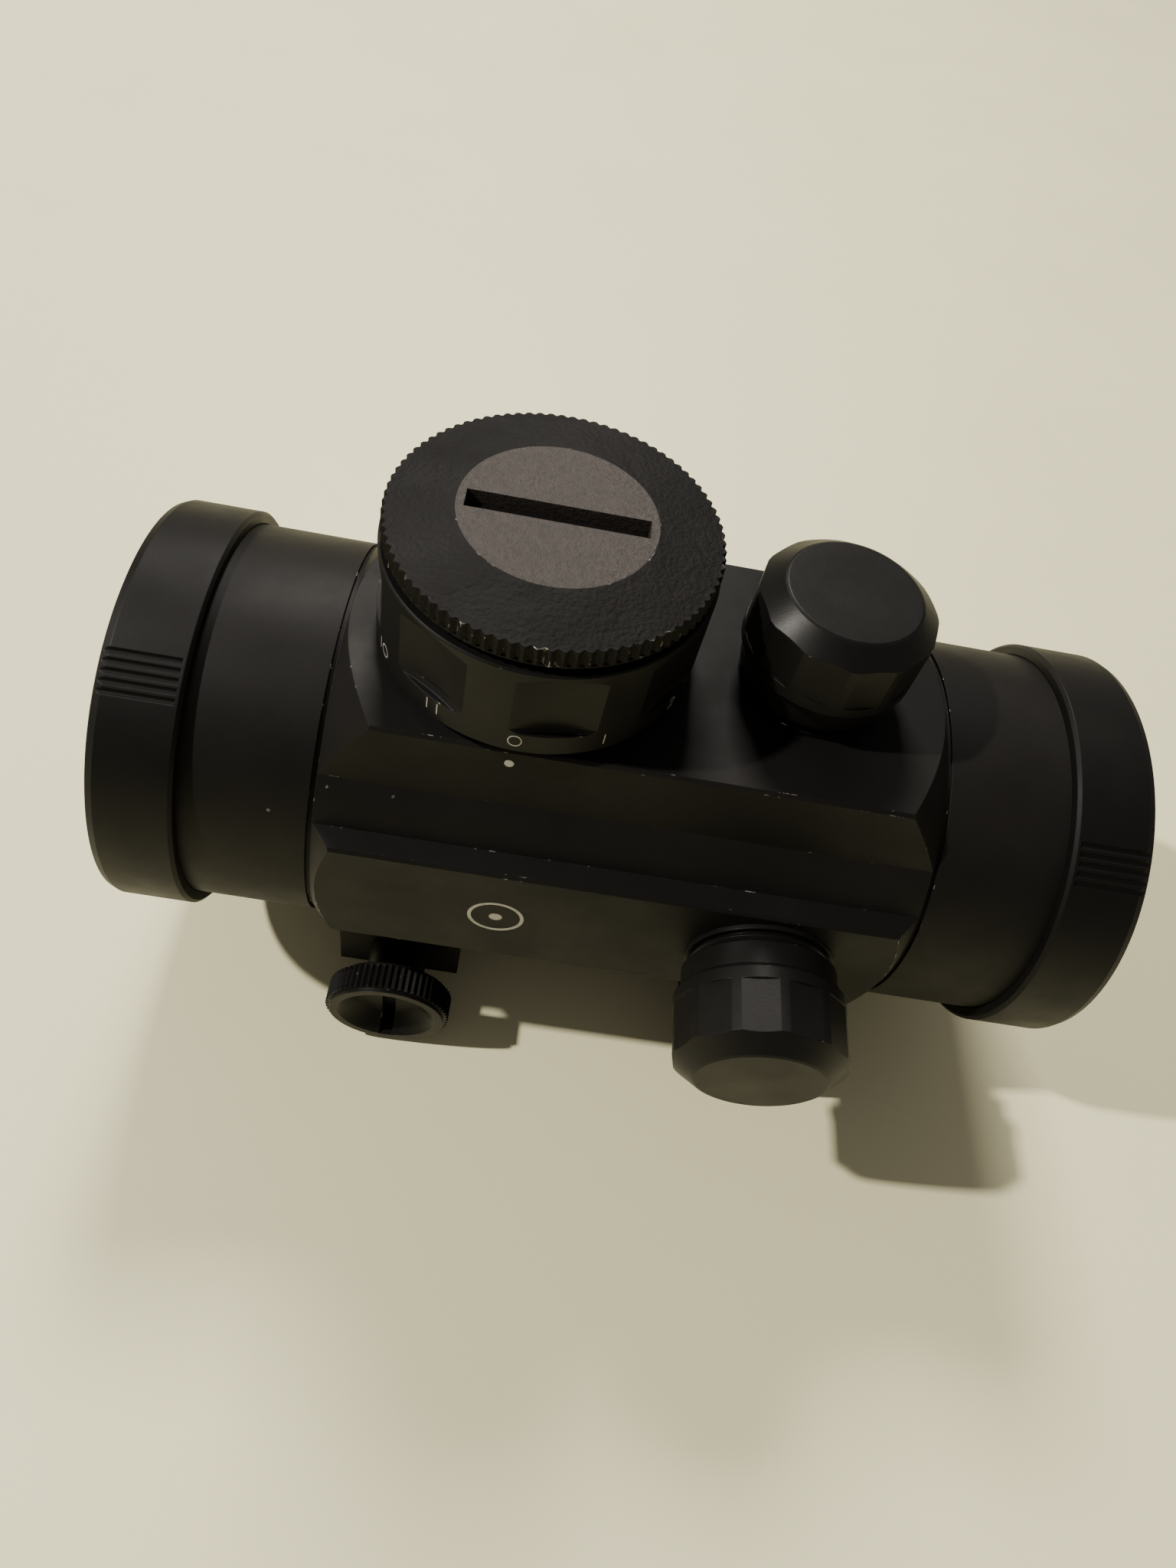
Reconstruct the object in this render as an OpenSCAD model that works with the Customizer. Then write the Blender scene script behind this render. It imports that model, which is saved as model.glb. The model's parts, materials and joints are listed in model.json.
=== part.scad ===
// Tube red dot sight with a rail clamp, in millimetres.
// The origin is the middle of the rail seat. +X is forward, +Z is up.
// The brightness knob and one turret stand on top, the other turret on the -Y side.

/* [Tube] */
// Outer radius of the main tube
tube_r = 19; // [18.8:0.1:19.2]
// Radius of the bore through the tube
bore_r = 16.4; // [16.3:0.05:16.5]
// Half length of the tube without its covers
tube_half = 46; // [45:0.5:48]
// Height of the tube axis above the rail seat
axis_z = 21.5; // [21:0.1:22]

/* [Covers] */
// Wall thickness of a push-on cover
cover_wall = 1.15; // [1:0.05:1.4]
// Thickness of a cover's end face
cover_face = 1.4; // [1:0.1:2]
// Length of a cover from its mouth to its end face
cover_depth = 7.8; // [6:0.1:9]
// Number of grip grooves in each rib patch
cover_grooves = 5; // [3:1:7]

/* [Saddle] */
// Half width of the flat top platform
platform_half = 13.8; // [13.4:0.1:14.2]
// Distance of the side pads from the middle plane
pad_y = 19.5; // [19.3:0.1:19.9]
// Height of a side pad's upper edge
pad_top = 29.5; // [28.5:0.1:30.5]
// Height of a side pad's lower edge
pad_bottom = 13.9; // [13:0.1:15]
// Half length at which the 45 degree end cones meet the tube
saddle_half = 27.9; // [27:0.1:29]

/* [Brightness knob] */
// Place of the knob along the tube
knob_x = -11; // [-11.5:0.1:-10.5]
// Outer radius of the brightness ring
ring_r = 14.5; // [14.3:0.1:14.7]
// Number of grip scallops around the brightness ring
ring_scallops = 8; // [6:1:9]
// Number of teeth around the battery cap
cap_teeth = 88; // [60:2:100]
// Radius of the grained disc in the battery cap
disc_r = 8.45; // [8:0.05:9]
// Width of the coin slot
coin_slot_w = 2.1; // [1.5:0.1:2.5]

/* [Turrets] */
// Place of both turrets along the tube
turret_x = 15; // [14.8:0.1:15.2]
// Radius of a turret cap's grip
grip_r = 7.98; // [7.9:0.02:8.1]
// Height of a turret cap's end face above its seat
turret_h = 11.9; // [11.5:0.1:12.5]
// Number of flats around a turret cap
grip_flats = 12; // [8:1:14]

/* [Clamp] */
// Distance of each thumb screw from the middle
screw_x = 20; // [19.9:0.1:20.1]
// Height of the thumb screws' axes, below the rail seat
screw_z = -1.2; // [-1.3:0.05:-1.1]
// Radius of a thumb screw's head
head_r = 6.7; // [6:0.1:7]
// Length of each clamp jaw along the tube
jaw_len = 13.5; // [12:0.5:14]

/* [Hidden] */

$fn = 96;
// Slack of a running fit, measured on the radius
run_gap = 0.06;
// Overlap that makes cuts go clean through
cut = 0.5;

// Tube and optics
window_r = bore_r + 0.8;
window_shoulder = tube_half - 9.5;
window_t = 1.6;
window_bulge = 0.8;
retainer_t = 2.4;
retainer_in_r = 15.2;
platform_z = axis_z + tube_r;
groove_w = 0.45;
groove_depth = 0.35;

// Inner tube, which pivots in the gimbal ring
inner_r = 15;
inner_bore_r = 13.2;
inner_flat = 14.6;
inner_flat_half = 3;
inner_rear = -30;
inner_front = 26;
pivot_x = -27;
gimbal_half = 1;
gimbal_in_r = 15.15;
gimbal_out_r = 16.1;
neck_r = 14.8;
body_trunnion_r = 0.8;
body_trunnion_y = 17.4;
tube_trunnion_r = 0.7;
lens_r = 14.1;
lens_seat = 21.5;
lens_t = 2.5;

// Covers
cover_r = tube_r + run_gap + cover_wall;
cover_end = tube_half + 0.2 + cover_face;
cover_mouth = cover_end - cover_depth;

// Base and clamp
base_half_len = 27.5;
base_half_w = 11.2;
jaw_face = 13.4;
jaw_inner = 10.8;
pocket_floor = 10.75;
hook_y = 8.3;
jaw_bottom = -6;
jaw_top = 5.5;
shank_r = 2;
shank_groove_r = 2.4;
screw_neck_r = 3.2;
head_front = 21.3;
head_t = 3.3;
head_teeth = 60;
spring_x = turret_x;
spring_pocket_r = 2.1;
plug_r = 2.4;
plug_top = 2.6;

// Brightness knob, as heights above the rail seat
board_bottom = platform_z - 0.5;
board_top = platform_z + 0.05;
board_in_r = 9;
board_out_r = 12.8;
housing_r = 12;
spigot_r = 8;
spigot_bottom = platform_z - 1.3;
battery_floor = platform_z + 4.5;
contact_t = 0.3;
battery_r = 10;
battery_t = 3.2;
battery_top = battery_floor + contact_t + battery_t;
thread_floor = battery_top + 0.1;
housing_top = platform_z + 11;
ring_bottom = platform_z + 0.5;
ring_top = platform_z + 11.1;
ring_bore_r = housing_r + 0.1;
clip_bottom = ring_top - 0.8;
clip_t = 0.5;
clip_r = 12.75;
clip_room_r = 12.9;
cap_bottom = platform_z + 11.6;
knurl_bottom = cap_bottom + 0.35;
cap_rim_top = cap_bottom + 2.1;
disc_top = cap_bottom + 2.95;
disc_t = 1.4;
cap_r = 14.3;
cap_root_r = 13.95;
rim_chamfer = 0.12;
plug_thread_r = 10.88;
thread_bore_r = 10.95;
detent_z = board_top + 2.45;
detent_angle = 45;
ball_r = 0.75;

// Turrets, as heights above the turret's seat
bushing_r = 6.3;
crest_r = 6.68;
thread_pitch = 0.8;
bushing_h = 9;
bushing_spigot_r = 4.2;
bushing_spigot = 2;
screw_cup_r = 4.6;
screw_cup_floor = 5.4;
dial_h = 0.5;
cap_bore_r = crest_r + 0.07;
cap_mouth_h = 1.6;
skirt_r = 7.3;
skirt_h = 3.9;
grip_bottom = 4.4;
grip_top = 10.3;
end_r = 6;
cap_room_h = 10.5;
flat_bottom = 5.6;
flat_half_angle = 12;
elevation_tip = -(platform_z - axis_z - inner_flat) + 0.05;
windage_tip = -(pad_y - inner_flat) + 0.05;

black = [0.10, 0.10, 0.11];
dark = [0.15, 0.15, 0.16];
grey = [0.42, 0.41, 0.40];
steel = [0.66, 0.67, 0.69];
brass = [0.78, 0.62, 0.30];
rubber = [0.06, 0.06, 0.06];
glass_blue = [0.62, 0.74, 0.85, 0.5];
glass_red = [0.75, 0.30, 0.28, 0.6];

// ---- Placing ----

// Turns a shape drawn along +Z about the tube axis, so that it points along +X
module on_tube_axis() {
    translate([0, 0, axis_z])
        rotate([0, 90, 0]) children();
}

// A plain ring about the tube axis between two places along it
module tube_ring(x_from, x_to, r_out, r_in) {
    on_tube_axis()
        translate([0, 0, x_from])
            difference() {
                cylinder(h = x_to - x_from, r = r_out);
                translate([0, 0, -cut])
                    cylinder(h = x_to - x_from + 2 * cut, r = r_in);
            }
}

// A round bar about the tube axis between two places along it
module tube_bar(x_from, x_to, r) {
    on_tube_axis()
        translate([0, 0, x_from]) cylinder(h = x_to - x_from, r = r);
}

// Places a turret on the top platform
module on_top() {
    translate([turret_x, 0, platform_z]) children();
}

// Places a turret on the side pad, pointing along -Y
module on_side() {
    translate([turret_x, -pad_y, axis_z])
        rotate([90, 0, 0]) children();
}

// Places a shape drawn about Z at the knob
module on_knob() {
    translate([knob_x, 0, 0]) children();
}

// Places a shape drawn along +Z at a thumb screw, pointing along -Y
module on_screw(side) {
    translate([side * screw_x, 0, screw_z])
        rotate([90, 0, 0]) children();
}

// Both halves of something that is the same front and rear
module front_and_rear() {
    children();
    mirror([1, 0, 0]) children();
}

// Both halves of something that is the same left and right
module left_and_right() {
    children();
    mirror([0, 1, 0]) children();
}

// A closed outline with V teeth around it
module toothed_disc(teeth, r_crest, r_root, h) {
    linear_extrude(height = h)
        polygon([for (i = [0 : 2 * teeth - 1])
            let (a = 180 * i / teeth, r = (i % 2 == 0) ? r_crest : r_root)
                [r * cos(a), r * sin(a)]]);
}

// A coil spring that stands on z = 0
module coil_spring(mean_r, wire_r, length, turns) {
    sides = 8;
    per_turn = 14;
    steps = turns * per_turn;
    rise = length - 2 * wire_r;
    points = [for (i = [0 : steps], j = [0 : sides - 1])
        let (a = 360 * i / per_turn, b = 360 * j / sides, r = mean_r + wire_r * cos(b))
            [r * cos(a), r * sin(a), wire_r + rise * i / steps + wire_r * sin(b)]];
    lower = [for (i = [0 : steps - 1], j = [0 : sides - 1])
        let (k = (j + 1) % sides)
            [i * sides + j, (i + 1) * sides + j, i * sides + k]];
    upper = [for (i = [0 : steps - 1], j = [0 : sides - 1])
        let (k = (j + 1) % sides)
            [i * sides + k, (i + 1) * sides + j, (i + 1) * sides + k]];
    start = [[for (j = [0 : sides - 1]) j]];
    finish = [[for (j = [0 : sides - 1]) steps * sides + sides - 1 - j]];
    polyhedron(points = points, faces = concat(lower, upper, start, finish));
}

// ---- Main body ----

// The saddle's outline across the tube: the platform and both side pads
module saddle_outline() {
    wall_foot = [14.6, 12];
    pad_root = [16.5, 0.2];
    top = tube_r;
    edge = 0.3;
    polygon([
        [-wall_foot[0], 6], [wall_foot[0], 6], wall_foot,
        [platform_half, top - edge], [platform_half - edge, top],
        [edge - platform_half, top], [-platform_half, top - edge],
        [-wall_foot[0], wall_foot[1]]]);
    for (side = [-1, 1])
        polygon([
            [side * pad_root[0], pad_top - axis_z + pad_root[1]],
            [side * (pad_y - edge), pad_top - axis_z],
            [side * pad_y, pad_top - axis_z - edge],
            [side * pad_y, pad_bottom - axis_z + edge],
            [side * (pad_y - edge), pad_bottom - axis_z],
            [side * pad_root[0], pad_bottom - axis_z - pad_root[1]]]);
}

// The double cone that cuts the saddle's ends at 45 degrees
module end_cones() {
    reach = saddle_half + tube_r;
    on_tube_axis()
        rotate_extrude()
            polygon([[0, -reach], [reach, 0], [0, reach]]);
}

module saddle() {
    intersection() {
        translate([-saddle_half, 0, axis_z])
            rotate([90, 0, 90])
                linear_extrude(height = 2 * saddle_half) saddle_outline();
        end_cones();
    }
}

// The base block with the fixed jaw on the +Y side
module base_block() {
    edge = 0.8;
    slope = jaw_inner - hook_y;
    translate([-base_half_len, 0, 0])
        rotate([90, 0, 90])
            linear_extrude(height = 2 * base_half_len)
                polygon([
                    [-base_half_w + edge, 0], [pocket_floor, 0],
                    [pocket_floor, jaw_bottom + edge + slope],
                    [hook_y, jaw_bottom + edge],
                    [hook_y + edge, jaw_bottom], [jaw_face - edge, jaw_bottom],
                    [jaw_face, jaw_bottom + edge], [jaw_face, jaw_top - edge],
                    [jaw_face - edge, jaw_top], [base_half_w, jaw_top],
                    [base_half_w, 10], [-base_half_w, 10], [-base_half_w, edge]]);
}

// Pockets that key the moving jaws, and the grooves and threads for their screws
module clamp_cuts() {
    for (side = [-1, 1]) {
        translate([side * screw_x - jaw_len / 2 - 0.15, -base_half_w - cut, -cut])
            cube([jaw_len + 0.3, base_half_w - pocket_floor + cut, jaw_top + 0.2 + cut]);
        on_screw(side)
            translate([0, 0, -pocket_floor])
                cylinder(h = pocket_floor + base_half_w + cut, r = shank_groove_r);
        on_screw(side)
            translate([0, 0, -jaw_face - cut])
                cylinder(h = jaw_face + cut, r = shank_r + run_gap);
    }
}

// Seats for the two turrets' bushings
module turret_cuts() {
    on_top() translate([0, 0, -5]) cylinder(h = 5 + cut, r = bushing_spigot_r);
    on_side() translate([0, 0, -5]) cylinder(h = 5 + cut, r = bushing_spigot_r);
}

// Seats for the knob's housing and switch board, and the hole for the leads
module knob_cuts() {
    on_knob() {
        translate([0, 0, spigot_bottom]) cylinder(h = 2 + cut, r = spigot_r);
        translate([0, 0, platform_z - 5]) cylinder(h = 5, r = 2);
        translate([0, 0, board_bottom])
            difference() {
                cylinder(h = 1 + cut, r = board_out_r + 0.1);
                translate([0, 0, -cut]) cylinder(h = 1 + 3 * cut, r = board_in_r);
            }
    }
}

module main_body() {
    color(black)
        difference() {
            union() {
                tube_bar(-tube_half, tube_half, tube_r);
                saddle();
                base_block();
            }
            tube_bar(-tube_half - cut, tube_half + cut, bore_r);
            front_and_rear() tube_bar(window_shoulder, tube_half + cut, window_r);
            front_and_rear()
                tube_ring(saddle_half, saddle_half + groove_w, tube_r + cut,
                    tube_r - groove_depth);
            turret_cuts();
            knob_cuts();
            clamp_cuts();
            translate([spring_x, 0, -cut]) cylinder(h = 3 + cut, r = plug_r);
            translate([spring_x, 0, 0]) cylinder(h = 8, r = spring_pocket_r);
            left_and_right()
                translate([pivot_x, 0, axis_z])
                    rotate([-90, 0, 0])
                        cylinder(h = body_trunnion_y + 0.1, r = body_trunnion_r + run_gap);
        }
}

// ---- Covers, windows and retaining rings ----

// A push-on cover: a shallow cup with a patch of grip grooves on each side.
// The first patch lies this many degrees up from the -Y side.
module end_cover(patch_angle) {
    round_r = 1;
    pitch = 2.5;
    difference() {
        on_tube_axis()
            rotate_extrude() {
                polygon([
                    [0, cover_end - cover_face], [0, cover_end],
                    [cover_r - round_r, cover_end],
                    [cover_r - 0.3 * round_r, cover_end - 0.3 * round_r],
                    [cover_r, cover_end - round_r], [cover_r, cover_mouth + 0.3],
                    [cover_r - 0.3, cover_mouth], [tube_r + run_gap, cover_mouth],
                    [tube_r + run_gap, cover_end - cover_face]]);
            }
        for (turn = [0, 180], i = [0 : cover_grooves - 1])
            translate([0, 0, axis_z])
                rotate([turn - patch_angle + pitch * (i - (cover_grooves - 1) / 2), 0, 0])
                    translate([cover_mouth + 0.6, -cover_r - 0.1, 0])
                        rotate([0, 90, 0]) cylinder(h = cover_depth, r = 0.32, $fn = 12);
    }
}

module objective_cover() {
    color(dark) end_cover(49);
}

module ocular_cover() {
    color(dark) mirror([1, 0, 0]) end_cover(57.5);
}

// A round window whose outer face is slightly domed
module window() {
    dome_r = (window_r * window_r + window_bulge * window_bulge) / (2 * window_bulge);
    apex = window_shoulder + window_t + window_bulge;
    intersection() {
        tube_bar(window_shoulder, apex + cut, window_r - 0.05);
        translate([apex - dome_r, 0, axis_z])
            rotate([0, 90, 0]) sphere(r = dome_r, $fn = 256);
    }
}

module objective_window() {
    color(glass_blue) window();
}

module ocular_window() {
    color(glass_blue) mirror([1, 0, 0]) window();
}

// A threaded ring with two key slots that holds a window in
module retaining_ring() {
    from = window_shoulder + window_t + window_bulge + 0.05;
    difference() {
        tube_ring(from, from + retainer_t, window_r - 0.02, retainer_in_r);
        translate([from + retainer_t - 1, -tube_r, axis_z - 0.75])
            cube([2, 2 * tube_r, 1.5]);
    }
}

module objective_retaining_ring() {
    color(dark) retaining_ring();
}

module ocular_retaining_ring() {
    color(dark) mirror([1, 0, 0]) retaining_ring();
}

// ---- Inner tube and its optics ----

module inner_tube() {
    color(dark)
        difference() {
            union() {
                tube_bar(inner_rear, pivot_x + gimbal_half + 0.5, neck_r);
                tube_bar(pivot_x + gimbal_half + 0.5, inner_front, inner_r);
                translate([pivot_x, 0, axis_z - gimbal_out_r + 0.1])
                    cylinder(h = 2 * gimbal_out_r - 0.2, r = tube_trunnion_r);
            }
            tube_bar(inner_rear - cut, inner_front + cut, inner_bore_r);
            tube_bar(lens_seat, inner_front + cut, lens_r);
            for (angle = [0, 90, 180])
                translate([0, 0, axis_z])
                    rotate([angle, 0, 0])
                        translate([turret_x - 5, -inner_flat_half - 1, inner_flat])
                            cube([10, 2 * inner_flat_half + 2, 2]);
        }
}

module gimbal_ring() {
    color(brass)
        difference() {
            union() {
                tube_bar(pivot_x - gimbal_half, pivot_x + gimbal_half, gimbal_out_r);
                translate([pivot_x, -body_trunnion_y, axis_z])
                    rotate([-90, 0, 0])
                        cylinder(h = 2 * body_trunnion_y, r = body_trunnion_r);
            }
            tube_bar(pivot_x - 5, pivot_x + 5, gimbal_in_r);
            translate([pivot_x, 0, axis_z - tube_r])
                cylinder(h = 2 * tube_r, r = tube_trunnion_r + run_gap);
        }
}

// The lens with the reflecting coat: its rear face is hollow
module reflector_lens() {
    hollow_r = 60;
    color(glass_red)
        difference() {
            tube_bar(lens_seat, lens_seat + lens_t, lens_r - 0.02);
            translate([lens_seat + 1 - hollow_r, 0, axis_z]) sphere(r = hollow_r, $fn = 256);
        }
}

module reflector_retaining_ring() {
    color(dark)
        difference() {
            tube_ring(lens_seat + lens_t, inner_front, lens_r - 0.02, 12.9);
            translate([inner_front - 0.8, -0.6, axis_z - inner_r])
                cube([2, 1.2, 2 * inner_r]);
        }
}

// A small bracket low in the rear of the inner tube
module emitter_holder() {
    color(black)
        difference() {
            intersection() {
                tube_ring(pivot_x - 1.5, pivot_x + 2, inner_bore_r, 9.4);
                translate([0, 0, axis_z])
                    rotate([45, 0, 0])
                        translate([pivot_x - 3, -2, -inner_r]) cube([8, 4, inner_r]);
            }
            emitter_place() translate([0, 0, -3]) cylinder(h = 8, r = 0.9, $fn = 32);
        }
}

// Places the emitter, which looks forward from the bracket
module emitter_place() {
    translate([pivot_x, 0, axis_z])
        rotate([45, 0, 0])
            translate([0, 0, -11.2]) rotate([0, 90, 0]) children();
}

module emitter_led() {
    color([0.8, 0.1, 0.1])
        emitter_place() {
            translate([0, 0, -1]) cylinder(h = 3.2, r = 0.9, $fn = 32);
            translate([0, 0, 2.2]) sphere(r = 0.9, $fn = 32);
        }
}

// Two flat leads along the inner tube, from the emitter towards the knob
module emitter_leads() {
    color([0.6, 0.1, 0.1])
        for (side = [-1, 1])
            translate([pivot_x + gimbal_half + 1, side * 1.2 - 0.3, axis_z + inner_r - 0.02])
                cube([knob_x - pivot_x - gimbal_half - 3, 0.6, 0.35]);
}

module return_spring() {
    color(steel)
        translate([spring_x, 0, plug_top])
            coil_spring(1.55, 0.25, axis_z - inner_flat - plug_top - 0.02, 4);
}

module return_spring_plug() {
    color(steel)
        translate([spring_x, 0, 0.4])
            difference() {
                cylinder(h = plug_top - 0.42, r = plug_r - 0.02);
                translate([0, 0, -cut]) cylinder(h = 1.2 + cut, r = 1.2, $fn = 6);
            }
}

// ---- Turrets, drawn on z = 0 ----

// The threaded boss, with ring grooves for its thread
module turret_bushing() {
    turns = floor((bushing_h - 1.2) / thread_pitch);
    thread = [for (i = [0 : turns - 1])
        each [[bushing_r, 0.5 + thread_pitch * i], [crest_r, 0.9 + thread_pitch * i]]];
    difference() {
        union() {
            rotate_extrude()
                polygon(concat([[0, 0], [7, 0], [7, 0.45], [bushing_r, 0.45]], thread,
                    [[bushing_r, 0.5 + thread_pitch * turns], [bushing_r, bushing_h],
                    [0, bushing_h]]));
            translate([0, 0, -bushing_spigot])
                cylinder(h = bushing_spigot + cut, r = bushing_spigot_r);
        }
        translate([0, 0, -bushing_spigot - cut])
            cylinder(h = bushing_h + bushing_spigot, r = shank_r + run_gap);
        translate([0, 0, screw_cup_floor]) cylinder(h = bushing_h, r = screw_cup_r);
    }
}

// A scale ring around the adjusting screw's head
module turret_dial() {
    ticks = 24;
    difference() {
        translate([0, 0, bushing_h]) cylinder(h = dial_h, r = 6.4);
        cylinder(h = 2 * bushing_h, r = screw_cup_r + 0.1);
        for (i = [0 : ticks - 1])
            rotate([0, 0, 360 * i / ticks])
                translate([5.3, -0.1, bushing_h + dial_h - 0.2]) cube([2, 0.2, 1]);
    }
}

// The adjusting screw: a slotted head on a shank that is bored for the plunger
module turret_screw() {
    head_bottom = 6.2;
    head_top = 8.4;
    difference() {
        union() {
            translate([0, 0, -1.2]) cylinder(h = head_bottom + 1.7, r = shank_r);
            translate([0, 0, head_bottom]) cylinder(h = head_top - head_bottom, r = 4.5);
        }
        translate([-6, -0.5, head_top - 0.9]) cube([12, 1, 2]);
        translate([0, 0, -2]) cylinder(h = 3.2, r = 1.2);
    }
}

// The plunger in the screw's end, which presses on the inner tube
module turret_plunger(tip) {
    rotate_extrude()
        polygon([[0, tip], [1, tip], [1.6, tip + 0.5], [1.6, -1.25], [1.14, -1.25],
            [1.14, 0.9], [0, 0.9]]);
}

// The cap: a skirt, a grip with flats and a chamfered end
module turret_cap() {
    apothem = grip_r * cos(flat_half_angle);
    difference() {
        rotate_extrude()
            polygon([[cap_bore_r, cap_mouth_h], [skirt_r - 0.15, cap_mouth_h],
                [skirt_r, cap_mouth_h + 0.15], [skirt_r, skirt_h],
                [grip_r - 0.1, grip_bottom - 0.1], [grip_r, grip_bottom + 0.1],
                [grip_r, grip_top], [end_r + 0.15, turret_h - 0.12],
                [end_r - 0.1, turret_h], [0, turret_h], [0, cap_room_h],
                [cap_bore_r, cap_room_h]]);
        for (i = [0 : grip_flats - 1])
            rotate([0, 0, 360 * (i + 0.5) / grip_flats])
                translate([apothem, -grip_r, flat_bottom])
                    cube([2, 2 * grip_r, turret_h]);
    }
}

// A flat gasket in the cap's end
module turret_gasket() {
    translate([0, 0, bushing_h + dial_h + 0.1])
        difference() {
            cylinder(h = 0.8, r = cap_bore_r - 0.1);
            translate([0, 0, -cut]) cylinder(h = 2, r = 4.9);
        }
}

module elevation_bushing() {
    color(black) on_top() turret_bushing();
}

module elevation_dial() {
    color(steel) on_top() turret_dial();
}

module elevation_screw() {
    color(brass) on_top() turret_screw();
}

module elevation_plunger() {
    color(steel) on_top() turret_plunger(elevation_tip);
}

module elevation_cap() {
    color(black) on_top() turret_cap();
}

module elevation_gasket() {
    color(rubber) on_top() turret_gasket();
}

module windage_bushing() {
    color(black) on_side() turret_bushing();
}

module windage_dial() {
    color(steel) on_side() turret_dial();
}

module windage_screw() {
    color(brass) on_side() turret_screw();
}

module windage_plunger() {
    color(steel) on_side() turret_plunger(windage_tip);
}

module windage_cap() {
    color(black) on_side() turret_cap();
}

module windage_gasket() {
    color(rubber) on_side() turret_gasket();
}

// ---- Brightness knob ----

module battery_housing() {
    color(dark)
        on_knob()
            difference() {
                rotate_extrude()
                    polygon([[0, spigot_bottom], [spigot_r, spigot_bottom],
                        [spigot_r, board_top], [housing_r, board_top],
                        [housing_r, clip_bottom - 0.05], [housing_r - 0.4, clip_bottom - 0.05],
                        [housing_r - 0.4, clip_bottom + clip_t + 0.05],
                        [housing_r, clip_bottom + clip_t + 0.05], [housing_r, housing_top],
                        [thread_bore_r, housing_top], [thread_bore_r, thread_floor],
                        [battery_r + 0.25, thread_floor], [battery_r + 0.25, battery_floor],
                        [0, battery_floor]]);
                translate([0, 0, spigot_bottom - cut]) cylinder(h = 8, r = 1.5);
                detent_place() translate([0, 0, -4]) cylinder(h = 6, r = ball_r + 0.05);
            }
}

// Places the detent, which points out from the housing
module detent_place() {
    rotate([0, 0, detent_angle])
        translate([housing_r + 0.05 - ball_r, 0, detent_z]) rotate([0, 90, 0]) children();
}

module detent_ball() {
    color(steel) on_knob() detent_place() sphere(r = ball_r, $fn = 48);
}

module detent_spring() {
    color(steel)
        on_knob() detent_place()
            translate([0, 0, -3.98]) coil_spring(0.5, 0.15, 3.98 - ball_r - 0.02, 5);
}

// The ring board with the brightness tracks
module switch_board() {
    color([0.1, 0.35, 0.2])
        on_knob()
            translate([0, 0, board_bottom])
                difference() {
                    cylinder(h = board_top - board_bottom, r = board_out_r);
                    translate([0, 0, -cut]) cylinder(h = 2, r = board_in_r);
                }
}

// A leaf that touches the battery from below, over the lead hole
module battery_contact() {
    color(brass)
        on_knob()
            difference() {
                translate([-6, -1.6, battery_floor]) cube([12, 3.2, contact_t]);
                translate([0, 0, battery_floor - cut]) cylinder(h = 2, r = 0.6);
            }
}

module battery() {
    can_top = battery_top - 0.25;
    color(steel)
        on_knob()
            rotate_extrude()
                polygon([[0, battery_floor + contact_t], [8.6, battery_floor + contact_t],
                    [8.6, battery_floor + contact_t + 0.3],
                    [battery_r - 0.3, battery_floor + contact_t + 0.3],
                    [battery_r, battery_floor + contact_t + 0.6], [battery_r, can_top],
                    [battery_r - 0.25, battery_top], [0, battery_top]]);
}

// The brightness ring: round rims, and scallops with a sloped upper end between them
module rheostat_ring() {
    scallop_r = 17.8;
    scallop_depth = 0.85;
    scallop_bottom = ring_bottom + 2.9;
    scallop_top = ring_top - 1.3;
    slope = 1;
    reach = ring_r - scallop_depth + scallop_r;
    color(black)
        on_knob()
            difference() {
                rotate_extrude()
                    polygon([[ring_bore_r, ring_bottom], [ring_r - 0.6, ring_bottom],
                        [ring_r, ring_bottom + 0.6], [ring_r, ring_top - 0.15],
                        [ring_r - 0.15, ring_top], [clip_room_r, ring_top],
                        [clip_room_r, clip_bottom - 0.2], [ring_bore_r, clip_bottom - 0.2]]);
                for (i = [0 : ring_scallops - 1])
                    rotate([0, 0, -80 + 360 * i / ring_scallops])
                        translate([reach, 0, scallop_bottom])
                            rotate_extrude()
                                polygon([[0, 0], [scallop_r - 0.3, 0], [scallop_r, 0.4],
                                    [scallop_r, scallop_top - scallop_bottom],
                                    [scallop_r - slope, scallop_top + slope - scallop_bottom],
                                    [0, scallop_top + slope - scallop_bottom]]);
                rotate([0, 0, 170])
                    rotate_extrude(angle = 20)
                        translate([housing_r, ring_bottom - cut]) square([0.95, cut + 0.4]);
            }
}

// The ring's contact leaf, which runs over the board
module rheostat_wiper() {
    color(brass)
        on_knob()
            rotate([0, 0, 171])
                rotate_extrude(angle = 18)
                    translate([ring_bore_r + 0.1, board_top + 0.05])
                        square([0.6, ring_bottom - board_top + 0.3]);
}

// An open clip that keeps the brightness ring on the housing
module open_clip(r_out, r_in, h, gap) {
    rotate_extrude(angle = 360 - gap)
        translate([r_in, 0]) square([r_out - r_in, h]);
}

module rheostat_clip() {
    color(steel)
        on_knob()
            translate([0, 0, clip_bottom])
                open_clip(clip_r, housing_r - 0.38, clip_t, 40);
}

// ---- Battery cap ----

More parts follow.
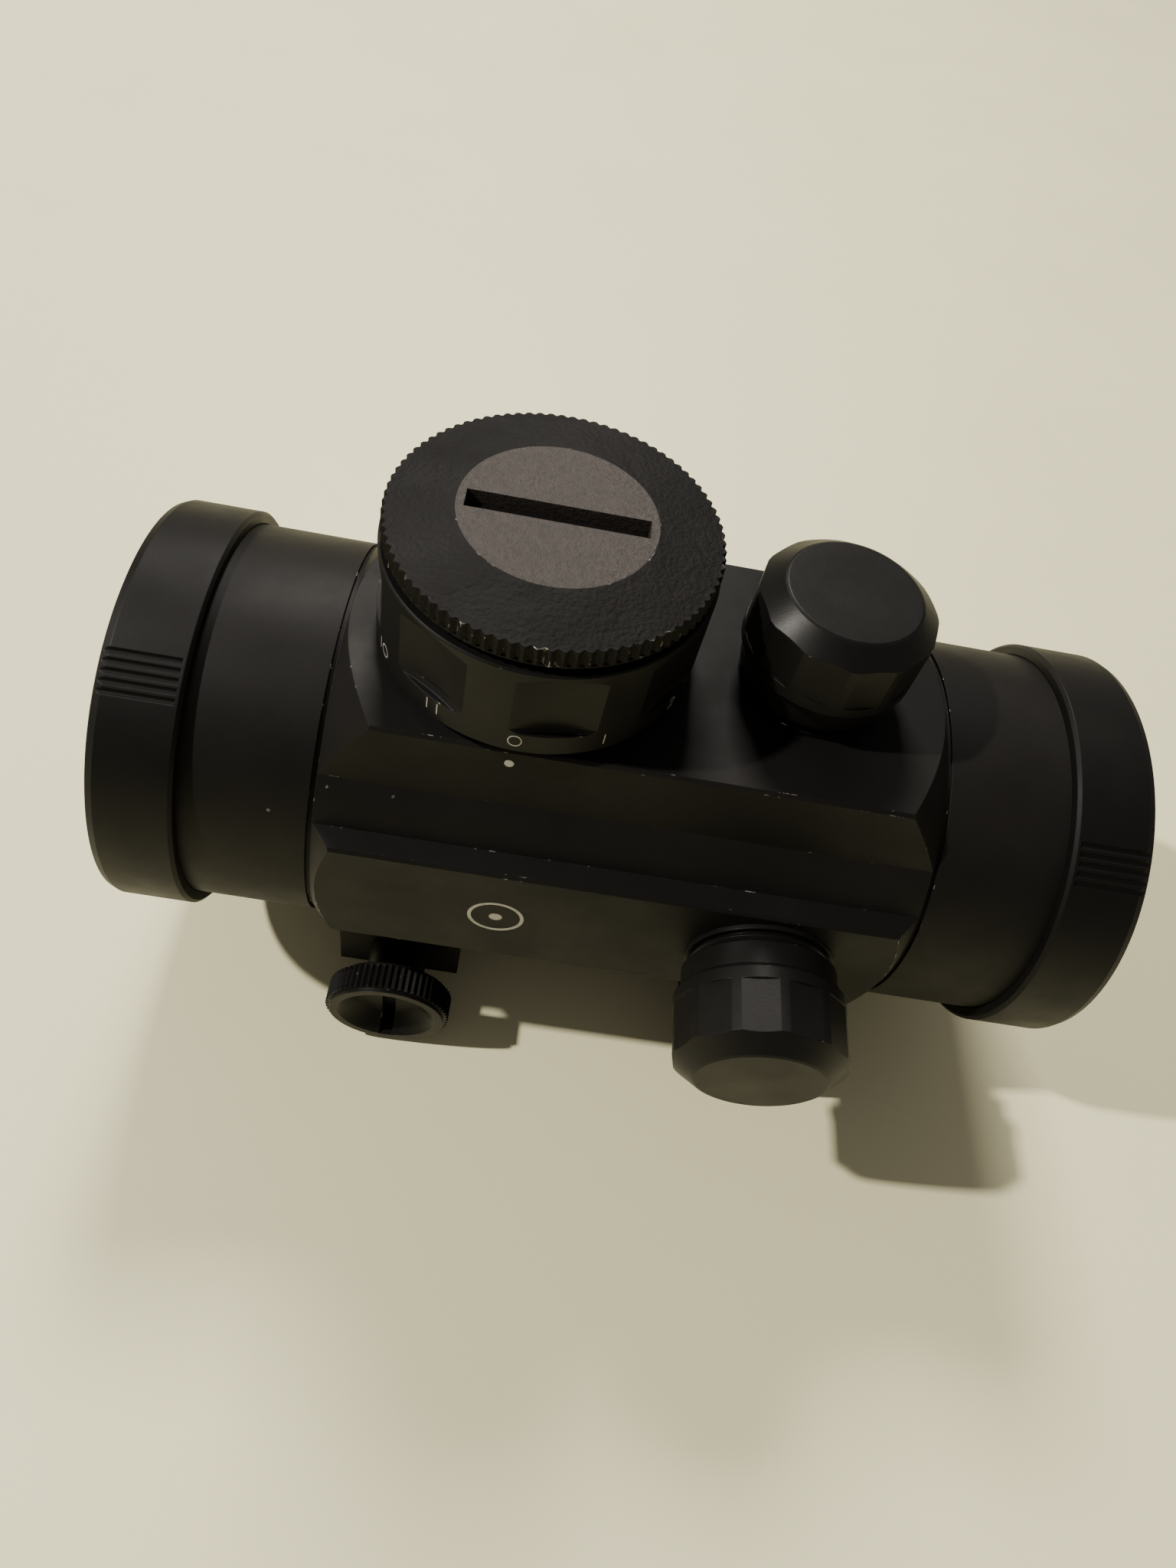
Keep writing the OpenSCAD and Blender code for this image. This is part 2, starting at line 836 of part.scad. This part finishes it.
module battery_cap() {
    color(dark)
        on_knob()
            difference() {
                union() {
                    rotate_extrude()
                        polygon([[0, thread_floor], [plug_thread_r - 0.3, thread_floor],
                            [plug_thread_r, thread_floor + 0.3],
                            [plug_thread_r, cap_bottom], [cap_root_r, cap_bottom],
                            [cap_root_r + 0.15, cap_bottom + 0.15],
                            [cap_root_r + 0.15, knurl_bottom], [cap_root_r, knurl_bottom],
                            [cap_root_r, cap_rim_top], [disc_r, disc_top], [0, disc_top]]);
                    intersection() {
                        translate([0, 0, knurl_bottom])
                            toothed_disc(cap_teeth, cap_r, cap_root_r - 0.05,
                                cap_rim_top - knurl_bottom);
                        translate([0, 0, knurl_bottom])
                            cylinder(h = cap_rim_top - knurl_bottom, r2 = cap_r - rim_chamfer,
                                r1 = cap_r - rim_chamfer + cap_rim_top - knurl_bottom);
                    }
                }
                translate([0, 0, disc_top - disc_t]) cylinder(h = 3, r = disc_r);
            }
}

// The grained disc with the coin slot
module battery_cap_disc() {
    slot_len = 1.82 * disc_r;
    color(grey)
        on_knob()
            difference() {
                translate([0, 0, disc_top - disc_t]) cylinder(h = disc_t, r = disc_r);
                translate([-slot_len / 2, -coin_slot_w / 2, disc_top - disc_t - cut])
                    cube([slot_len, coin_slot_w, 3]);
            }
}

module battery_cap_o_ring() {
    wire = (cap_bottom - housing_top) / 2 - 0.02;
    color(rubber)
        on_knob()
            translate([0, 0, (cap_bottom + housing_top) / 2])
                rotate_extrude()
                    translate([11.45, 0]) circle(r = wire, $fn = 32);
}

// ---- Clamp ----

// A moving jaw: a plate with a hook under the rail, bored for its screw
module clamp_jaw(side) {
    edge = 0.6;
    slope = jaw_inner - hook_y;
    difference() {
        translate([side * screw_x - jaw_len / 2, 0, 0])
            rotate([90, 0, 90])
                linear_extrude(height = jaw_len)
                    polygon([
                        [-jaw_inner, jaw_top], [-jaw_face + edge, jaw_top],
                        [-jaw_face, jaw_top - edge], [-jaw_face, jaw_bottom + edge],
                        [-jaw_face + edge, jaw_bottom], [-hook_y - edge, jaw_bottom],
                        [-hook_y, jaw_bottom + edge],
                        [-jaw_inner, jaw_bottom + edge + slope]]);
        on_screw(side) cylinder(h = jaw_face + 1, r = shank_r + run_gap);
        on_screw(side) cylinder(h = jaw_inner + 0.8, r = 3.3);
    }
}

module rear_jaw() {
    color(black) clamp_jaw(-1);
}

module front_jaw() {
    color(black) clamp_jaw(1);
}

// A thumb screw: a toothed, dished head with a slot, a neck and a long shank
module thumb_screw() {
    dish_r = 5.3;
    clip_room = 11.45;
    difference() {
        union() {
            translate([0, 0, head_front - head_t + 0.4])
                toothed_disc(head_teeth, head_r, head_r - 0.3, head_t - 0.8);
            translate([0, 0, head_front - head_t]) cylinder(h = head_t, r = head_r - 0.5);
            translate([0, 0, jaw_face + 0.05])
                cylinder(h = head_front - head_t - jaw_face, r = screw_neck_r);
            translate([0, 0, -jaw_face + 0.6])
                cylinder(h = 2 * jaw_face, r = shank_r);
        }
        translate([0, 0, head_front - 1.9]) cylinder(h = 1.9 + 0.01, r1 = 3.4, r2 = dish_r);
        translate([-0.7, -dish_r, head_front - 2.7]) cube([1.4, 2 * dish_r, 4]);
        translate([0, 0, clip_room - 0.55])
            difference() {
                cylinder(h = 0.55, r = shank_r + 1);
                translate([0, 0, -cut]) cylinder(h = 2, r = shank_r - 0.4);
            }
    }
}

module rear_thumb_screw() {
    color(dark) on_screw(-1) thumb_screw();
}

module front_thumb_screw() {
    color(dark) on_screw(1) thumb_screw();
}

// The clip behind a jaw, in a groove of its screw
module screw_clip() {
    translate([0, 0, 10.92]) open_clip(3.1, shank_r - 0.38, 0.5, 70);
}

module rear_screw_clip() {
    color(steel) on_screw(-1) screw_clip();
}

module front_screw_clip() {
    color(steel) on_screw(1) screw_clip();
}

main_body();
objective_cover();
ocular_cover();
objective_window();
objective_retaining_ring();
ocular_window();
ocular_retaining_ring();
inner_tube();
gimbal_ring();
reflector_lens();
reflector_retaining_ring();
emitter_holder();
emitter_led();
emitter_leads();
return_spring();
return_spring_plug();
elevation_bushing();
elevation_dial();
elevation_screw();
elevation_plunger();
elevation_cap();
elevation_gasket();
windage_bushing();
windage_dial();
windage_screw();
windage_plunger();
windage_cap();
windage_gasket();
battery_housing();
switch_board();
battery_contact();
battery();
rheostat_ring();
rheostat_wiper();
rheostat_clip();
detent_ball();
detent_spring();
battery_cap();
battery_cap_disc();
battery_cap_o_ring();
rear_jaw();
front_jaw();
rear_thumb_screw();
front_thumb_screw();
rear_screw_clip();
front_screw_clip();
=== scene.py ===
"""Looks of the tube red dot sight: materials, rounded edges, paint marks, camera and lights.

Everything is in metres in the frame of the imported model: +X forward along the tube, +Z up.
"""

import json
import math

import bmesh
import bpy
from mathutils import Euler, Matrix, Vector


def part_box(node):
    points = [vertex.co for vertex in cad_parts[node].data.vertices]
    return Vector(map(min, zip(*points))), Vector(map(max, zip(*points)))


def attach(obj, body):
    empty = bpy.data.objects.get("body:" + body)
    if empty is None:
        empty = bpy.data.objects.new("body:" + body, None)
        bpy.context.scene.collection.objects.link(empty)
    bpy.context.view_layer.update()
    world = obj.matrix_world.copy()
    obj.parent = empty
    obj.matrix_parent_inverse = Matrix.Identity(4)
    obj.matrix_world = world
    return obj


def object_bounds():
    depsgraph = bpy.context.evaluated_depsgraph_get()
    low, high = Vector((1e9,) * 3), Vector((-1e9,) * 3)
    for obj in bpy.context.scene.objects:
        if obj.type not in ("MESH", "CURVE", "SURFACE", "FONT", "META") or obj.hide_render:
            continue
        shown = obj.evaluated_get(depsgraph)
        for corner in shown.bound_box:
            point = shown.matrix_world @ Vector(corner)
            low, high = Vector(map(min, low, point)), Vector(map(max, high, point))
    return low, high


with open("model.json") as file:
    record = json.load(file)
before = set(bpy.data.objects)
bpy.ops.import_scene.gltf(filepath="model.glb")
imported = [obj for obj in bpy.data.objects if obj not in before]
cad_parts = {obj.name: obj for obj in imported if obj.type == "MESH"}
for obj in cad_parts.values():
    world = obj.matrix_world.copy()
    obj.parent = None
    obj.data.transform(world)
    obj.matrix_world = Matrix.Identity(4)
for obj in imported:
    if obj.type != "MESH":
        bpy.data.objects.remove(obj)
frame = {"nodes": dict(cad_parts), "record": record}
CAD_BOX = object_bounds()
NODES = frame["nodes"]
RECORD = frame["record"]
SLOT_OF = {part["node"]: part["material_slot"] for part in RECORD["subparts"]}
BODY_OF = {node: body for body, nodes in RECORD["behaviour"]["bodies"].items() for node in nodes}

MM = 0.001
WHITE_PAINT = (0.38, 0.37, 0.34)
BARE_METAL = (0.62, 0.60, 0.56)
BLACK_SPECULAR = 0.14

# Sockets of Blender's Mix node in its colour mode
MIX_FIRST, MIX_SECOND, MIX_RESULT = 6, 7, 2


# ---------------------------------------------------------------- places read from the frame

def middle(node):
    """The middle of a CAD node's box."""
    low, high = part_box(node)
    return (low + high) / 2


def radius_about_z(node):
    """Half the width of a CAD node across X."""
    low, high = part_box(node)
    return (high.x - low.x) / 2


TUBE_AXIS_Z = middle("objective_window").z
TUBE_R = 19 * MM
PLATFORM_Z = TUBE_AXIS_Z + TUBE_R
PAD_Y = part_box("main_body")[0].y
KNOB = middle("rheostat_ring")
RING_R = radius_about_z("rheostat_ring")
RING_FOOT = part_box("rheostat_ring")[0].z


# ---------------------------------------------------------------- materials

class Shader:
    """A procedural material, built node by node."""

    def __init__(self, name):
        self.material = bpy.data.materials.new(name)
        self.material.use_nodes = True
        self.nodes = self.material.node_tree.nodes
        self.links = self.material.node_tree.links
        self.bsdf = self.nodes["Principled BSDF"]
        self.place = self.nodes.new("ShaderNodeTexCoord").outputs["Object"]

    def set(self, **values):
        """Sets sockets of the shader, with underscores for spaces."""
        for name, value in values.items():
            self.bsdf.inputs[name.replace("_", " ")].default_value = value

    def feed(self, socket, source):
        self.links.new(source, self.bsdf.inputs[socket])

    def stretched(self, scale):
        mapping = self.nodes.new("ShaderNodeMapping")
        mapping.inputs["Scale"].default_value = scale
        self.links.new(self.place, mapping.inputs["Vector"])
        return mapping.outputs["Vector"]

    def noise(self, scale, detail=3.0, roughness=0.55, stretch=None):
        texture = self.nodes.new("ShaderNodeTexNoise")
        texture.inputs["Scale"].default_value = scale
        texture.inputs["Detail"].default_value = detail
        texture.inputs["Roughness"].default_value = roughness
        source = self.stretched(stretch) if stretch else self.place
        self.links.new(source, texture.inputs["Vector"])
        return texture.outputs["Fac"]

    def cells(self, scale):
        texture = self.nodes.new("ShaderNodeTexVoronoi")
        texture.inputs["Scale"].default_value = scale
        self.links.new(self.place, texture.inputs["Vector"])
        return texture.outputs["Distance"]

    def remap(self, source, low, high, to_low=0.0, to_high=1.0):
        node = self.nodes.new("ShaderNodeMapRange")
        node.inputs["From Min"].default_value = low
        node.inputs["From Max"].default_value = high
        node.inputs["To Min"].default_value = to_low
        node.inputs["To Max"].default_value = to_high
        self.links.new(source, node.inputs["Value"])
        return node.outputs["Result"]

    def math(self, operation, first, second):
        node = self.nodes.new("ShaderNodeMath")
        node.operation = operation
        for socket, value in zip(node.inputs, (first, second)):
            if isinstance(value, (int, float)):
                socket.default_value = value
            else:
                self.links.new(value, socket)
        return node.outputs["Value"]

    def blend(self, factor, first, second):
        """Mixes two colours, each an RGB triple or another node's output."""
        node = self.nodes.new("ShaderNodeMix")
        node.data_type = "RGBA"
        self.links.new(factor, node.inputs["Factor"])
        for socket, value in ((node.inputs[MIX_FIRST], first), (node.inputs[MIX_SECOND], second)):
            if isinstance(value, tuple):
                socket.default_value = (*value, 1.0)
            else:
                self.links.new(value, socket)
        return node.outputs[MIX_RESULT]

    def rounded(self, radius):
        """The surface normal with sharp edges rounded by a radius."""
        node = self.nodes.new("ShaderNodeBevel")
        node.samples = 6
        node.inputs["Radius"].default_value = radius
        return node.outputs["Normal"]

    def edges(self, radius):
        """0 on open surfaces, rising to 1 on sharp edges."""
        geometry = self.nodes.new("ShaderNodeNewGeometry")
        dot = self.nodes.new("ShaderNodeVectorMath")
        dot.operation = "DOT_PRODUCT"
        self.links.new(self.rounded(radius), dot.inputs[0])
        self.links.new(geometry.outputs["Normal"], dot.inputs[1])
        return self.remap(dot.outputs["Value"], 0.985, 0.90)

    def bump(self, heights, normal=None):
        """Stacks bumps given as (height, depth in metres)."""
        for height, depth in heights:
            node = self.nodes.new("ShaderNodeBump")
            node.inputs["Strength"].default_value = 1.0
            node.inputs["Distance"].default_value = depth
            self.links.new(height, node.inputs["Height"])
            if normal is not None:
                self.links.new(normal, node.inputs["Normal"])
            normal = node.outputs["Normal"]
        self.feed("Normal", normal)


def black_metal(name, tone, roughness, grain, depth, wear, edge=0.12 * MM):
    """Anodised metal: patchy sheen, fine grain, and bare metal in specks on its edges."""
    s = Shader(name)
    patches = s.noise(90, 4)
    fine = s.noise(grain, 3)
    light = tuple(1.55 * c for c in tone)
    colour = s.blend(s.remap(patches, 0.3, 0.7), tone, light)
    scuffs = s.remap(s.noise(900, 5), 0.66 - wear, 0.72 - wear)
    worn_edge = s.math("MULTIPLY", s.edges(edge), scuffs)
    specks = s.remap(s.cells(330), 0.075, 0.045)
    rare = s.remap(s.noise(160, 2), 0.72 - 2 * wear, 0.76 - 2 * wear)
    bare = s.math("MAXIMUM", worn_edge, s.math("MULTIPLY", specks, rare))
    s.feed("Base Color", s.blend(bare, colour, BARE_METAL))
    s.feed("Metallic", bare)
    s.set(Specular_IOR_Level=BLACK_SPECULAR)
    s.feed("Roughness", s.remap(s.noise(140, 5), 0.25, 0.75, roughness - 0.07, roughness + 0.09))
    s.bump([(fine, depth), (s.noise(grain * 0.12, 2), depth * 1.5)], s.rounded(edge))
    return s.material


def moulded_plastic(name, tone, roughness, grain, depth):
    """Moulded plastic or rubber: fine texture, faint dust and a soft sheen."""
    s = Shader(name)
    dust = s.remap(s.noise(55, 6), 0.45, 0.75, 0.0, 0.35)
    pale = tuple(2.6 * c for c in tone)
    s.feed("Base Color", s.blend(dust, tone, pale))
    s.set(Specular_IOR_Level=BLACK_SPECULAR)
    s.feed("Roughness", s.remap(s.noise(200, 4), 0.25, 0.75, roughness - 0.06, roughness + 0.08))
    s.bump([(s.noise(grain, 4), depth)], s.rounded(0.15 * MM))
    return s.material


def grained_metal(name, tone, roughness, grain, depth):
    """Cast or blasted metal with a coarse grain."""
    s = Shader(name)
    coarse = s.noise(grain, 6, 0.65)
    light = tuple(1.7 * c for c in tone)
    s.feed("Base Color", s.blend(s.remap(coarse, 0.35, 0.65), tone, light))
    s.set(Metallic=0.15)
    s.feed("Roughness", s.remap(s.noise(grain * 0.4, 3), 0.3, 0.7, roughness - 0.05, roughness + 0.1))
    s.bump([(coarse, depth), (s.noise(grain * 3, 3), depth * 0.4)], s.rounded(0.1 * MM))
    return s.material


def bright_metal(name, tone, roughness, stretch=(1, 1, 1)):
    """Turned or drawn metal with a fine machined grain and faint stains."""
    s = Shader(name)
    stain = s.remap(s.noise(120, 4), 0.4, 0.75)
    dull = tuple(0.62 * c for c in tone)
    s.feed("Base Color", s.blend(stain, tone, dull))
    s.set(Metallic=1.0)
    s.feed("Roughness", s.remap(s.noise(260, 4), 0.3, 0.7, roughness - 0.06, roughness + 0.12))
    s.bump([(s.noise(2600, 3, stretch=stretch), 0.003 * MM)], s.rounded(0.06 * MM))
    return s.material


def coated_glass(name, tone, roughness=0.02):
    """Coated glass with a faint haze."""
    s = Shader(name)
    s.feed("Base Color", s.blend(s.noise(60, 2), tone, tuple(0.92 * c for c in tone)))
    s.set(Transmission_Weight=0.94, IOR=1.52)
    s.feed("Roughness", s.remap(s.noise(90, 5), 0.5, 0.85, roughness, roughness + 0.05))
    s.bump([(s.noise(300, 2), 0.0004 * MM)])
    return s.material


def paint(name, tone):
    """Filled engraving: chalky paint with thin spots."""
    s = Shader(name)
    thin = s.remap(s.noise(1500, 5), 0.52, 0.78)
    s.feed("Base Color", s.blend(thin, tone, tuple(0.42 * c for c in tone)))
    s.feed("Roughness", s.remap(s.noise(700, 3), 0.3, 0.7, 0.55, 0.75))
    s.bump([(s.noise(2500, 3), 0.004 * MM)])
    return s.material


MATERIALS = {
    "body_black": black_metal("body black", (0.0048, 0.0043, 0.0040), 0.54, 5200, 0.006 * MM, 0.03),
    "ring_black": black_metal("ring black", (0.0046, 0.0043, 0.0041), 0.42, 6500, 0.002 * MM, 0.0),
    "turret_black": black_metal("turret black", (0.0046, 0.0043, 0.0041), 0.40, 5200, 0.005 * MM, 0.02),
    "cap_black": black_metal("cap black", (0.0030, 0.0026, 0.0024), 0.64, 2300, 0.110 * MM, 0.04),
    "inner_black": black_metal("inner black", (0.008, 0.008, 0.008), 0.65, 4000, 0.01 * MM, 0.0),
    "disc_grey": grained_metal("disc grey", (0.026, 0.0208, 0.0175), 0.46, 2300, 0.18 * MM),
    "cover_black": moulded_plastic("cover black", (0.0042, 0.0038, 0.0036), 0.50, 3800, 0.006 * MM),
    "holder_plastic": moulded_plastic("holder plastic", (0.02, 0.02, 0.02), 0.5, 3000, 0.01 * MM),
    "rubber": moulded_plastic("seal rubber", (0.014, 0.014, 0.014), 0.62, 3000, 0.008 * MM),
    "board_green": moulded_plastic("board green", (0.02, 0.10, 0.05), 0.40, 1200, 0.01 * MM),
    "lead_red": moulded_plastic("lead red", (0.30, 0.02, 0.015), 0.45, 2000, 0.005 * MM),
    "led_red": moulded_plastic("emitter red", (0.45, 0.02, 0.015), 0.12, 800, 0.001 * MM),
    "brass": bright_metal("turned brass", (0.70, 0.50, 0.22), 0.30),
    "steel": bright_metal("zinc steel", (0.60, 0.60, 0.60), 0.32),
    "spring_steel": bright_metal("spring steel", (0.45, 0.45, 0.47), 0.28),
    "battery_steel": bright_metal("nickel plate", (0.68, 0.67, 0.65), 0.22),
    "window_glass": coated_glass("window glass", (0.86, 0.93, 1.0)),
    "reflector_glass": coated_glass("reflector glass", (1.0, 0.62, 0.58)),
}
PAINT = paint("white paint", WHITE_PAINT)


def dress(piece, slot):
    """Gives a piece one material."""
    piece.data.materials.clear()
    piece.data.materials.append(MATERIALS[slot])


for name, part in NODES.items():
    dress(part, SLOT_OF[name])


# ---------------------------------------------------------------- paint marks

def ribbon(name, strokes, width, thickness, wrap):
    """A mesh of flat strokes. Each stroke is a list of (u, v); wrap turns (u, v, height) to 3-D."""
    mesh = bmesh.new()
    for stroke in strokes:
        closed = stroke[0] == stroke[-1]
        points = [Vector(p) for p in (stroke[:-1] if closed else stroke)]
        count = len(points)
        rows = []
        for i, here in enumerate(points):
            before = points[i - 1] if closed or i else here
            after = points[(i + 1) % count] if closed or i < count - 1 else here
            along = (after - before).normalized()
            side = Vector((-along.y, along.x)) * width / 2
            rows.append([mesh.verts.new(wrap(*(here + s * side), h))
                         for s, h in ((1, 0), (1, thickness), (-1, thickness), (-1, 0))])
        for i in range(count if closed else count - 1):
            a, b = rows[i], rows[(i + 1) % count]
            for j in range(4):
                mesh.faces.new((a[j], a[(j + 1) % 4], b[(j + 1) % 4], b[j]))
        if not closed:
            mesh.faces.new(rows[0][::-1])
            mesh.faces.new(rows[-1])
    bmesh.ops.recalc_face_normals(mesh, faces=mesh.faces)
    return add_piece(name, mesh)


def add_piece(name, mesh):
    """Turns a bmesh into an object of the scene."""
    data = bpy.data.meshes.new(name)
    mesh.to_mesh(data)
    mesh.free()
    piece = bpy.data.objects.new(name, data)
    bpy.context.scene.collection.objects.link(piece)
    return piece


def arc(cx, cy, rx, ry, start, end, steps=14):
    """Points along part of an ellipse, in degrees."""
    return [(cx + rx * math.cos(math.radians(start + (end - start) * i / steps)),
             cy + ry * math.sin(math.radians(start + (end - start) * i / steps)))
            for i in range(steps + 1)]


# Strokes of the digits in a box one unit high, centred on (0, 0)
DIGITS = {
    "0": [arc(0, 0, 0.42, 0.48, 90, 450, 24)],
    "1": [[(0, 0.48), (0, -0.48)]],
    "2": [arc(0, 0.2, 0.27, 0.27, 160, -30, 10) + [(-0.28, -0.46), (0.3, -0.46)]],
    "3": [arc(0, 0.22, 0.25, 0.24, 150, -80, 10), arc(0, -0.22, 0.28, 0.25, 80, -150, 10)],
    "4": [[(0.3, -0.16), (-0.32, -0.16), (0.14, 0.48), (0.14, -0.48)]],
    "5": [[(0.26, 0.46), (-0.22, 0.46), (-0.25, 0.06)] + arc(0, -0.17, 0.28, 0.3, 110, -150, 12)],
    "6": [[(0.18, 0.47)] + arc(0.02, -0.05, 0.30, 0.5, 120, 180, 6), arc(0, -0.18, 0.28, 0.29, 0, 360, 20)],
    "7": [[(-0.28, 0.46), (0.28, 0.46), (-0.06, -0.48)]],
    "8": [arc(0, 0.23, 0.23, 0.23, 0, 360, 18), arc(0, -0.22, 0.28, 0.26, 0, 360, 18)],
    "9": [arc(0, 0.18, 0.28, 0.29, 0, 360, 20), arc(-0.02, 0.05, 0.30, 0.5, 0, -60, 6) + [(-0.18, -0.47)]],
}


def number_strokes(number, height):
    """The strokes of a whole number, centred."""
    text = str(number)
    pitch = 0.8
    strokes = []
    for i, digit in enumerate(text):
        shift = (i - (len(text) - 1) / 2) * pitch
        strokes += [[((x + shift) * height, y * height) for x, y in stroke]
                    for stroke in DIGITS[digit]]
    return strokes


def dial_numbers():
    """The numbers 0 to 11 around the brightness ring; the 0 faces the index dot."""
    numbers = 12
    zero_angle = math.radians(-92)
    height = 1.35 * MM
    line = 0.10 * MM
    rise = RING_FOOT + 1.95 * MM
    out = RING_R + 0.004 * MM
    strokes = []
    for number in range(numbers):
        turn = zero_angle + number * math.tau / numbers
        strokes += [[(x + turn * out, y) for x, y in stroke]
                    for stroke in number_strokes(number, height)]

    def wrap(u, v, lift):
        angle = u / out
        return Vector((KNOB.x + (out + lift) * math.cos(angle),
                       KNOB.y + (out + lift) * math.sin(angle), rise + v))

    piece = ribbon("dial_numbers", strokes, line, 0.012 * MM, wrap)
    piece.data.materials.append(PAINT)
    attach(piece, BODY_OF["rheostat_ring"])


def disc_mesh(name, centre, normal, radius, thickness, segments=32):
    """A thin round dot with a domed face."""
    mesh = bmesh.new()
    turn = normal.to_track_quat("Z", "Y").to_matrix()
    rings = ((radius, 0.0), (radius, 0.6 * thickness), (0.8 * radius, thickness))
    loops = [[mesh.verts.new(centre + turn @ Vector((r * math.cos(math.tau * i / segments),
                                                     r * math.sin(math.tau * i / segments), h)))
              for i in range(segments)] for r, h in rings]
    for lower, upper in zip(loops, loops[1:]):
        for i in range(segments):
            j = (i + 1) % segments
            mesh.faces.new((lower[i], lower[j], upper[j], upper[i]))
    mesh.faces.new(loops[0][::-1])
    mesh.faces.new(loops[-1])
    return add_piece(name, mesh)


def index_dot():
    """The white index dot on the platform's wall, below the ring's 0."""
    wall_top = Vector((0, -13.8 * MM, PLATFORM_Z))
    wall_foot = Vector((0, -14.6 * MM, TUBE_AXIS_Z + 12 * MM))
    below_edge = 1.55 * MM
    sunk = 0.01 * MM
    down = (wall_foot - wall_top).normalized()
    out = Vector((0, down.z, -down.y))
    centre = wall_top + down * below_edge
    centre.x = KNOB.x - 0.6 * MM
    piece = disc_mesh("index_dot", centre - out * sunk, out, radius=0.42 * MM, thickness=0.03 * MM)
    piece.data.materials.append(PAINT)
    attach(piece, "root")


def side_mark():
    """A plain ring-and-dot mark on the side pad."""
    x, z = KNOB.x + 0.6 * MM, TUBE_AXIS_Z + 0.4 * MM
    ring_r = 2.5 * MM
    clear = 0.002 * MM

    def wrap(u, v, lift):
        return Vector((x + u, PAD_Y - clear - lift, z + v))

    circle = arc(0, 0, ring_r, ring_r, 0, 360, 64)
    ring = ribbon("side_mark_ring", [circle], width=0.34 * MM, thickness=0.012 * MM, wrap=wrap)
    dot = disc_mesh("side_mark_dot", Vector((x, PAD_Y, z)), Vector((0, -1, 0)),
                    radius=0.62 * MM, thickness=0.014 * MM)
    for piece in (ring, dot):
        piece.data.materials.append(PAINT)
        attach(piece, "root")


dial_numbers()
index_dot()
side_mark()


# ---------------------------------------------------------------- stage, camera and lights

def floor():
    """A pale painted table top, just below the lowest point of the sight."""
    size = 2.4
    gap = 0.05 * MM
    mesh = bmesh.new()
    bmesh.ops.create_grid(mesh, x_segments=8, y_segments=8, size=size / 2)
    piece = add_piece("floor", mesh)
    piece.location = (0, 0, CAD_BOX[0][2] - gap)
    s = Shader("table top")
    s.feed("Base Color", s.blend(s.noise(5, 4), (0.84, 0.81, 0.515), (0.80, 0.77, 0.49)))
    s.feed("Roughness", s.remap(s.noise(30, 4), 0.3, 0.7, 0.42, 0.55))
    s.bump([(s.noise(180, 4), 0.02 * MM)])
    piece.data.materials.append(s.material)


def camera():
    """The camera, close above the near side of the sight."""
    data = bpy.data.cameras.new("camera")
    data.sensor_width = 36
    data.lens = 24.62
    data.shift_x = 0.0024
    data.shift_y = -0.056
    data.clip_start = 0.005
    piece = bpy.data.objects.new("camera", data)
    piece.location = (-12.5 * MM, -66.57 * MM, 113.46 * MM)
    piece.rotation_euler = Euler(map(math.radians, (38.7, -9.05, 4.94)))
    bpy.context.scene.collection.objects.link(piece)
    bpy.context.scene.camera = piece


def area_light(name, direction, distance, size, power, colour):
    """A square light that faces the sight from a direction."""
    data = bpy.data.lights.new(name, "AREA")
    data.size = size
    data.energy = power
    data.color = colour
    piece = bpy.data.objects.new(name, data)
    target = Vector((0, 0, TUBE_AXIS_Z))
    away = Vector(direction).normalized()
    piece.location = target + away * distance
    piece.rotation_euler = away.to_track_quat("Z", "Y").to_euler()
    bpy.context.scene.collection.objects.link(piece)


def surroundings(strength, colour):
    """Even light from all around."""
    world = bpy.data.worlds.new("surroundings")
    world.use_nodes = True
    back = world.node_tree.nodes["Background"]
    back.inputs["Color"].default_value = (*colour, 1)
    back.inputs["Strength"].default_value = strength
    bpy.context.scene.world = world


floor()
camera()
area_light("side", direction=(-0.68, -0.09, 0.72), distance=1.0, size=0.03, power=12.5,
           colour=(1.0, 0.95, 0.86))
area_light("back", direction=(-0.08, 0.62, 0.76), distance=1.0, size=0.22, power=11,
           colour=(1.0, 0.95, 0.87))
surroundings(strength=0.22, colour=(1.0, 0.92, 0.85))
